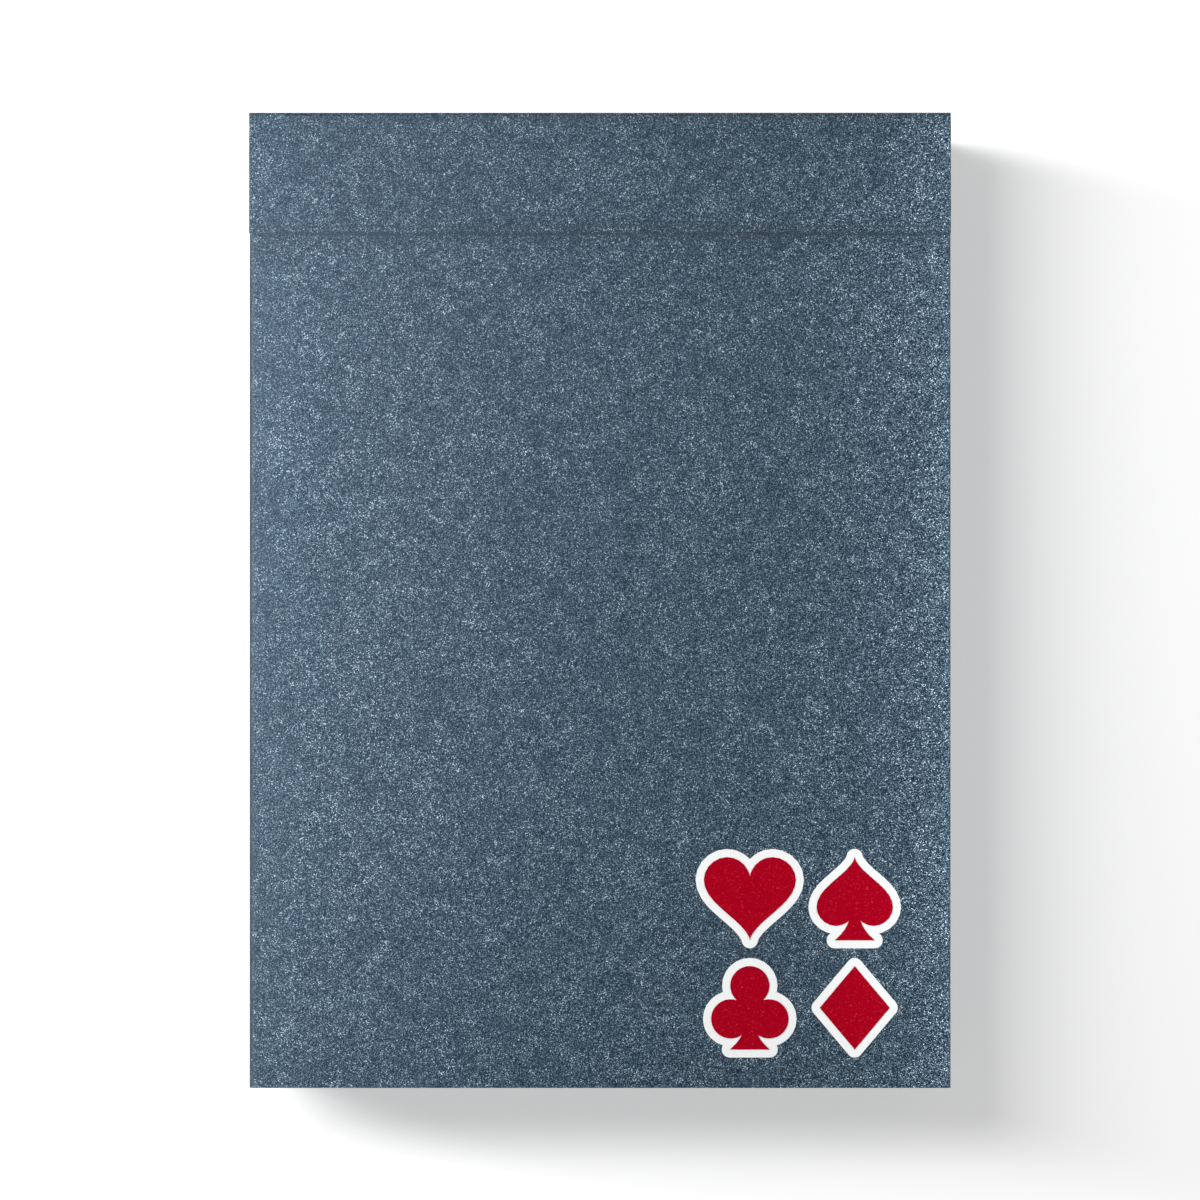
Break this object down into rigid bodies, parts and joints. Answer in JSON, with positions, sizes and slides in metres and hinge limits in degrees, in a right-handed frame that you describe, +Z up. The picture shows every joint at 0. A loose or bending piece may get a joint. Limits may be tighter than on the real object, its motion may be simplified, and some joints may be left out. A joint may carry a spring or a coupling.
{
  "type": "playing card deck in a tuck box",
  "caption": "Deck of poker-size playing cards in a blue-grey tuck box whose creased lid, tuck flap and dust flaps fold open while the cards slide up out of it.",
  "frame": {"origin": "middle of the box's footprint, on the surface that the box lies on", "axes": "+X across the box, +Y to the lid end, +Z up, out of the panel with the lid's crease"},
  "size_m": [0.0656, 0.0912, 0.0179],
  "materials": {
    "box_board": "pearlescent blue-grey card stock with a fine sparkling grain",
    "emblem_print": "red and white print",
    "card_stock": "white coated card stock, air-cushion embossed"
  },
  "bodies": {
    "carton": {"carton": "box_board", "emblem": "emblem_print"},
    "lid_strip": {"lid_strip": "box_board"},
    "lid_top": {"lid_top": "box_board"},
    "tuck_flap": {"tuck_flap": "box_board"},
    "left_dust_flap": {"left_dust_flap": "box_board"},
    "right_dust_flap": {"right_dust_flap": "box_board"},
    "ace_of_spades": {"ace_of_spades": "card_stock"},
    "two_of_spades": {"two_of_spades": "card_stock"},
    "three_of_spades": {"three_of_spades": "card_stock"},
    "four_of_spades": {"four_of_spades": "card_stock"},
    "five_of_spades": {"five_of_spades": "card_stock"},
    "six_of_spades": {"six_of_spades": "card_stock"},
    "seven_of_spades": {"seven_of_spades": "card_stock"},
    "eight_of_spades": {"eight_of_spades": "card_stock"},
    "nine_of_spades": {"nine_of_spades": "card_stock"},
    "ten_of_spades": {"ten_of_spades": "card_stock"},
    "jack_of_spades": {"jack_of_spades": "card_stock"},
    "queen_of_spades": {"queen_of_spades": "card_stock"},
    "king_of_spades": {"king_of_spades": "card_stock"},
    "ace_of_hearts": {"ace_of_hearts": "card_stock"},
    "two_of_hearts": {"two_of_hearts": "card_stock"},
    "three_of_hearts": {"three_of_hearts": "card_stock"},
    "four_of_hearts": {"four_of_hearts": "card_stock"},
    "five_of_hearts": {"five_of_hearts": "card_stock"},
    "six_of_hearts": {"six_of_hearts": "card_stock"},
    "seven_of_hearts": {"seven_of_hearts": "card_stock"},
    "eight_of_hearts": {"eight_of_hearts": "card_stock"},
    "nine_of_hearts": {"nine_of_hearts": "card_stock"},
    "ten_of_hearts": {"ten_of_hearts": "card_stock"},
    "jack_of_hearts": {"jack_of_hearts": "card_stock"},
    "queen_of_hearts": {"queen_of_hearts": "card_stock"},
    "king_of_hearts": {"king_of_hearts": "card_stock"},
    "ace_of_clubs": {"ace_of_clubs": "card_stock"},
    "two_of_clubs": {"two_of_clubs": "card_stock"},
    "three_of_clubs": {"three_of_clubs": "card_stock"},
    "four_of_clubs": {"four_of_clubs": "card_stock"},
    "five_of_clubs": {"five_of_clubs": "card_stock"},
    "six_of_clubs": {"six_of_clubs": "card_stock"},
    "seven_of_clubs": {"seven_of_clubs": "card_stock"},
    "eight_of_clubs": {"eight_of_clubs": "card_stock"},
    "nine_of_clubs": {"nine_of_clubs": "card_stock"},
    "ten_of_clubs": {"ten_of_clubs": "card_stock"},
    "jack_of_clubs": {"jack_of_clubs": "card_stock"},
    "queen_of_clubs": {"queen_of_clubs": "card_stock"},
    "king_of_clubs": {"king_of_clubs": "card_stock"},
    "ace_of_diamonds": {"ace_of_diamonds": "card_stock"},
    "two_of_diamonds": {"two_of_diamonds": "card_stock"},
    "three_of_diamonds": {"three_of_diamonds": "card_stock"},
    "four_of_diamonds": {"four_of_diamonds": "card_stock"},
    "five_of_diamonds": {"five_of_diamonds": "card_stock"},
    "six_of_diamonds": {"six_of_diamonds": "card_stock"},
    "seven_of_diamonds": {"seven_of_diamonds": "card_stock"},
    "eight_of_diamonds": {"eight_of_diamonds": "card_stock"},
    "nine_of_diamonds": {"nine_of_diamonds": "card_stock"},
    "ten_of_diamonds": {"ten_of_diamonds": "card_stock"},
    "jack_of_diamonds": {"jack_of_diamonds": "card_stock"},
    "queen_of_diamonds": {"queen_of_diamonds": "card_stock"},
    "king_of_diamonds": {"king_of_diamonds": "card_stock"},
    "jokers": {"jokers": "card_stock"}
  },
  "joints": [
    {"name": "lid_crease", "type": "hinge", "parent": "carton", "child": "lid_strip", "pos_m": [0, 0.03429, 0.01766], "axis": [1, 0, 0], "range_deg": [0, 110], "deforming": ["tuck_flap"]},
    {"name": "lid_fold", "type": "hinge", "parent": "lid_strip", "child": "lid_top", "pos_m": [0, 0.04541, 0.01766], "axis": [1, 0, 0], "range_deg": [0, 88]},
    {"name": "tuck_fold", "type": "hinge", "parent": "lid_top", "child": "tuck_flap", "pos_m": [0, 0.04541, 0.00066], "axis": [1, 0, 0], "range_deg": [0, 55]},
    {"name": "left_dust_fold", "type": "hinge", "parent": "carton", "child": "left_dust_flap", "pos_m": [-0.03261, 0.04493, 0.00892], "axis": [0, 0, 1], "range_deg": [0, 143]},
    {"name": "right_dust_fold", "type": "hinge", "parent": "carton", "child": "right_dust_flap", "pos_m": [0.03261, 0.04493, 0.00892], "axis": [0, 0, -1], "range_deg": [0, 143]},
    {"name": "ace_of_spades_slide", "type": "slide", "parent": "carton", "child": "ace_of_spades", "axis": [0, 1, 0], "range_m": [0, 0.0056]},
    {"name": "two_of_spades_slide", "type": "slide", "parent": "carton", "child": "two_of_spades", "axis": [0, 1, 0], "range_m": [0, 0.00564]},
    {"name": "three_of_spades_slide", "type": "slide", "parent": "carton", "child": "three_of_spades", "axis": [0, 1, 0], "range_m": [0, 0.00568]},
    {"name": "four_of_spades_slide", "type": "slide", "parent": "carton", "child": "four_of_spades", "axis": [0, 1, 0], "range_m": [0, 0.00573]},
    {"name": "five_of_spades_slide", "type": "slide", "parent": "carton", "child": "five_of_spades", "axis": [0, 1, 0], "range_m": [0, 0.00577]},
    {"name": "six_of_spades_slide", "type": "slide", "parent": "carton", "child": "six_of_spades", "axis": [0, 1, 0], "range_m": [0, 0.00581]},
    {"name": "seven_of_spades_slide", "type": "slide", "parent": "carton", "child": "seven_of_spades", "axis": [0, 1, 0], "range_m": [0, 0.00585]},
    {"name": "eight_of_spades_slide", "type": "slide", "parent": "carton", "child": "eight_of_spades", "axis": [0, 1, 0], "range_m": [0, 0.0059]},
    {"name": "nine_of_spades_slide", "type": "slide", "parent": "carton", "child": "nine_of_spades", "axis": [0, 1, 0], "range_m": [0, 0.00594]},
    {"name": "ten_of_spades_slide", "type": "slide", "parent": "carton", "child": "ten_of_spades", "axis": [0, 1, 0], "range_m": [0, 0.00598]},
    {"name": "jack_of_spades_slide", "type": "slide", "parent": "carton", "child": "jack_of_spades", "axis": [0, 1, 0], "range_m": [0, 0.00602]},
    {"name": "queen_of_spades_slide", "type": "slide", "parent": "carton", "child": "queen_of_spades", "axis": [0, 1, 0], "range_m": [0, 0.00607]},
    {"name": "king_of_spades_slide", "type": "slide", "parent": "carton", "child": "king_of_spades", "axis": [0, 1, 0], "range_m": [0, 0.00611]},
    {"name": "ace_of_hearts_slide", "type": "slide", "parent": "carton", "child": "ace_of_hearts", "axis": [0, 1, 0], "range_m": [0, 0.00615]},
    {"name": "two_of_hearts_slide", "type": "slide", "parent": "carton", "child": "two_of_hearts", "axis": [0, 1, 0], "range_m": [0, 0.00619]},
    {"name": "three_of_hearts_slide", "type": "slide", "parent": "carton", "child": "three_of_hearts", "axis": [0, 1, 0], "range_m": [0, 0.00624]},
    {"name": "four_of_hearts_slide", "type": "slide", "parent": "carton", "child": "four_of_hearts", "axis": [0, 1, 0], "range_m": [0, 0.00628]},
    {"name": "five_of_hearts_slide", "type": "slide", "parent": "carton", "child": "five_of_hearts", "axis": [0, 1, 0], "range_m": [0, 0.00632]},
    {"name": "six_of_hearts_slide", "type": "slide", "parent": "carton", "child": "six_of_hearts", "axis": [0, 1, 0], "range_m": [0, 0.00636]},
    {"name": "seven_of_hearts_slide", "type": "slide", "parent": "carton", "child": "seven_of_hearts", "axis": [0, 1, 0], "range_m": [0, 0.0064]},
    {"name": "eight_of_hearts_slide", "type": "slide", "parent": "carton", "child": "eight_of_hearts", "axis": [0, 1, 0], "range_m": [0, 0.00645]},
    {"name": "nine_of_hearts_slide", "type": "slide", "parent": "carton", "child": "nine_of_hearts", "axis": [0, 1, 0], "range_m": [0, 0.00649]},
    {"name": "ten_of_hearts_slide", "type": "slide", "parent": "carton", "child": "ten_of_hearts", "axis": [0, 1, 0], "range_m": [0, 0.00653]},
    {"name": "jack_of_hearts_slide", "type": "slide", "parent": "carton", "child": "jack_of_hearts", "axis": [0, 1, 0], "range_m": [0, 0.00657]},
    {"name": "queen_of_hearts_slide", "type": "slide", "parent": "carton", "child": "queen_of_hearts", "axis": [0, 1, 0], "range_m": [0, 0.00662]},
    {"name": "king_of_hearts_slide", "type": "slide", "parent": "carton", "child": "king_of_hearts", "axis": [0, 1, 0], "range_m": [0, 0.00666]},
    {"name": "ace_of_clubs_slide", "type": "slide", "parent": "carton", "child": "ace_of_clubs", "axis": [0, 1, 0], "range_m": [0, 0.0067]},
    {"name": "two_of_clubs_slide", "type": "slide", "parent": "carton", "child": "two_of_clubs", "axis": [0, 1, 0], "range_m": [0, 0.00674]},
    {"name": "three_of_clubs_slide", "type": "slide", "parent": "carton", "child": "three_of_clubs", "axis": [0, 1, 0], "range_m": [0, 0.00679]},
    {"name": "four_of_clubs_slide", "type": "slide", "parent": "carton", "child": "four_of_clubs", "axis": [0, 1, 0], "range_m": [0, 0.00683]},
    {"name": "five_of_clubs_slide", "type": "slide", "parent": "carton", "child": "five_of_clubs", "axis": [0, 1, 0], "range_m": [0, 0.00687]},
    {"name": "six_of_clubs_slide", "type": "slide", "parent": "carton", "child": "six_of_clubs", "axis": [0, 1, 0], "range_m": [0, 0.00691]},
    {"name": "seven_of_clubs_slide", "type": "slide", "parent": "carton", "child": "seven_of_clubs", "axis": [0, 1, 0], "range_m": [0, 0.00695]},
    {"name": "eight_of_clubs_slide", "type": "slide", "parent": "carton", "child": "eight_of_clubs", "axis": [0, 1, 0], "range_m": [0, 0.007]},
    {"name": "nine_of_clubs_slide", "type": "slide", "parent": "carton", "child": "nine_of_clubs", "axis": [0, 1, 0], "range_m": [0, 0.00704]},
    {"name": "ten_of_clubs_slide", "type": "slide", "parent": "carton", "child": "ten_of_clubs", "axis": [0, 1, 0], "range_m": [0, 0.00708]},
    {"name": "jack_of_clubs_slide", "type": "slide", "parent": "carton", "child": "jack_of_clubs", "axis": [0, 1, 0], "range_m": [0, 0.00712]},
    {"name": "queen_of_clubs_slide", "type": "slide", "parent": "carton", "child": "queen_of_clubs", "axis": [0, 1, 0], "range_m": [0, 0.00717]},
    {"name": "king_of_clubs_slide", "type": "slide", "parent": "carton", "child": "king_of_clubs", "axis": [0, 1, 0], "range_m": [0, 0.00721]},
    {"name": "ace_of_diamonds_slide", "type": "slide", "parent": "carton", "child": "ace_of_diamonds", "axis": [0, 1, 0], "range_m": [0, 0.00725]},
    {"name": "two_of_diamonds_slide", "type": "slide", "parent": "carton", "child": "two_of_diamonds", "axis": [0, 1, 0], "range_m": [0, 0.00729]},
    {"name": "three_of_diamonds_slide", "type": "slide", "parent": "carton", "child": "three_of_diamonds", "axis": [0, 1, 0], "range_m": [0, 0.00734]},
    {"name": "four_of_diamonds_slide", "type": "slide", "parent": "carton", "child": "four_of_diamonds", "axis": [0, 1, 0], "range_m": [0, 0.00738]},
    {"name": "five_of_diamonds_slide", "type": "slide", "parent": "carton", "child": "five_of_diamonds", "axis": [0, 1, 0], "range_m": [0, 0.00742]},
    {"name": "six_of_diamonds_slide", "type": "slide", "parent": "carton", "child": "six_of_diamonds", "axis": [0, 1, 0], "range_m": [0, 0.00746]},
    {"name": "seven_of_diamonds_slide", "type": "slide", "parent": "carton", "child": "seven_of_diamonds", "axis": [0, 1, 0], "range_m": [0, 0.0075]},
    {"name": "eight_of_diamonds_slide", "type": "slide", "parent": "carton", "child": "eight_of_diamonds", "axis": [0, 1, 0], "range_m": [0, 0.00755]},
    {"name": "nine_of_diamonds_slide", "type": "slide", "parent": "carton", "child": "nine_of_diamonds", "axis": [0, 1, 0], "range_m": [0, 0.00759]},
    {"name": "ten_of_diamonds_slide", "type": "slide", "parent": "carton", "child": "ten_of_diamonds", "axis": [0, 1, 0], "range_m": [0, 0.00763]},
    {"name": "jack_of_diamonds_slide", "type": "slide", "parent": "carton", "child": "jack_of_diamonds", "axis": [0, 1, 0], "range_m": [0, 0.00767]},
    {"name": "queen_of_diamonds_slide", "type": "slide", "parent": "carton", "child": "queen_of_diamonds", "axis": [0, 1, 0], "range_m": [0, 0.00771]},
    {"name": "king_of_diamonds_slide", "type": "slide", "parent": "carton", "child": "king_of_diamonds", "axis": [0, 1, 0], "range_m": [0, 0.00776]},
    {"name": "jokers_slide", "type": "slide", "parent": "carton", "child": "jokers", "axis": [0, 1, 0], "range_m": [0, 0.0078]}
  ],
  "couplings": [
    {"joint": "lid_crease", "follows": "jokers_slide", "rad_per_m": 246.14},
    {"joint": "lid_fold", "follows": "jokers_slide", "rad_per_m": 196.91},
    {"joint": "tuck_fold", "follows": "jokers_slide", "rad_per_m": 123.07},
    {"joint": "left_dust_fold", "follows": "jokers_slide", "rad_per_m": 319.98},
    {"joint": "right_dust_fold", "follows": "jokers_slide", "rad_per_m": 319.98},
    {"joint": "ace_of_spades_slide", "follows": "jokers_slide", "ratio": 0.71795},
    {"joint": "two_of_spades_slide", "follows": "jokers_slide", "ratio": 0.72333},
    {"joint": "three_of_spades_slide", "follows": "jokers_slide", "ratio": 0.72885},
    {"joint": "four_of_spades_slide", "follows": "jokers_slide", "ratio": 0.73423},
    {"joint": "five_of_spades_slide", "follows": "jokers_slide", "ratio": 0.73962},
    {"joint": "six_of_spades_slide", "follows": "jokers_slide", "ratio": 0.74513},
    {"joint": "seven_of_spades_slide", "follows": "jokers_slide", "ratio": 0.75051},
    {"joint": "eight_of_spades_slide", "follows": "jokers_slide", "ratio": 0.7559},
    {"joint": "nine_of_spades_slide", "follows": "jokers_slide", "ratio": 0.76128},
    {"joint": "ten_of_spades_slide", "follows": "jokers_slide", "ratio": 0.76679},
    {"joint": "jack_of_spades_slide", "follows": "jokers_slide", "ratio": 0.77218},
    {"joint": "queen_of_spades_slide", "follows": "jokers_slide", "ratio": 0.77756},
    {"joint": "king_of_spades_slide", "follows": "jokers_slide", "ratio": 0.78308},
    {"joint": "ace_of_hearts_slide", "follows": "jokers_slide", "ratio": 0.78846},
    {"joint": "two_of_hearts_slide", "follows": "jokers_slide", "ratio": 0.79385},
    {"joint": "three_of_hearts_slide", "follows": "jokers_slide", "ratio": 0.79936},
    {"joint": "four_of_hearts_slide", "follows": "jokers_slide", "ratio": 0.80474},
    {"joint": "five_of_hearts_slide", "follows": "jokers_slide", "ratio": 0.81013},
    {"joint": "six_of_hearts_slide", "follows": "jokers_slide", "ratio": 0.81564},
    {"joint": "seven_of_hearts_slide", "follows": "jokers_slide", "ratio": 0.82103},
    {"joint": "eight_of_hearts_slide", "follows": "jokers_slide", "ratio": 0.82641},
    {"joint": "nine_of_hearts_slide", "follows": "jokers_slide", "ratio": 0.83179},
    {"joint": "ten_of_hearts_slide", "follows": "jokers_slide", "ratio": 0.83731},
    {"joint": "jack_of_hearts_slide", "follows": "jokers_slide", "ratio": 0.84269},
    {"joint": "queen_of_hearts_slide", "follows": "jokers_slide", "ratio": 0.84808},
    {"joint": "king_of_hearts_slide", "follows": "jokers_slide", "ratio": 0.85359},
    {"joint": "ace_of_clubs_slide", "follows": "jokers_slide", "ratio": 0.85897},
    {"joint": "two_of_clubs_slide", "follows": "jokers_slide", "ratio": 0.86436},
    {"joint": "three_of_clubs_slide", "follows": "jokers_slide", "ratio": 0.86987},
    {"joint": "four_of_clubs_slide", "follows": "jokers_slide", "ratio": 0.87526},
    {"joint": "five_of_clubs_slide", "follows": "jokers_slide", "ratio": 0.88064},
    {"joint": "six_of_clubs_slide", "follows": "jokers_slide", "ratio": 0.88615},
    {"joint": "seven_of_clubs_slide", "follows": "jokers_slide", "ratio": 0.89154},
    {"joint": "eight_of_clubs_slide", "follows": "jokers_slide", "ratio": 0.89692},
    {"joint": "nine_of_clubs_slide", "follows": "jokers_slide", "ratio": 0.90231},
    {"joint": "ten_of_clubs_slide", "follows": "jokers_slide", "ratio": 0.90782},
    {"joint": "jack_of_clubs_slide", "follows": "jokers_slide", "ratio": 0.91321},
    {"joint": "queen_of_clubs_slide", "follows": "jokers_slide", "ratio": 0.91859},
    {"joint": "king_of_clubs_slide", "follows": "jokers_slide", "ratio": 0.9241},
    {"joint": "ace_of_diamonds_slide", "follows": "jokers_slide", "ratio": 0.92949},
    {"joint": "two_of_diamonds_slide", "follows": "jokers_slide", "ratio": 0.93487},
    {"joint": "three_of_diamonds_slide", "follows": "jokers_slide", "ratio": 0.94038},
    {"joint": "four_of_diamonds_slide", "follows": "jokers_slide", "ratio": 0.94577},
    {"joint": "five_of_diamonds_slide", "follows": "jokers_slide", "ratio": 0.95115},
    {"joint": "six_of_diamonds_slide", "follows": "jokers_slide", "ratio": 0.95667},
    {"joint": "seven_of_diamonds_slide", "follows": "jokers_slide", "ratio": 0.96205},
    {"joint": "eight_of_diamonds_slide", "follows": "jokers_slide", "ratio": 0.96744},
    {"joint": "nine_of_diamonds_slide", "follows": "jokers_slide", "ratio": 0.97282},
    {"joint": "ten_of_diamonds_slide", "follows": "jokers_slide", "ratio": 0.97833},
    {"joint": "jack_of_diamonds_slide", "follows": "jokers_slide", "ratio": 0.98372},
    {"joint": "queen_of_diamonds_slide", "follows": "jokers_slide", "ratio": 0.9891},
    {"joint": "king_of_diamonds_slide", "follows": "jokers_slide", "ratio": 0.99462}
  ]
}
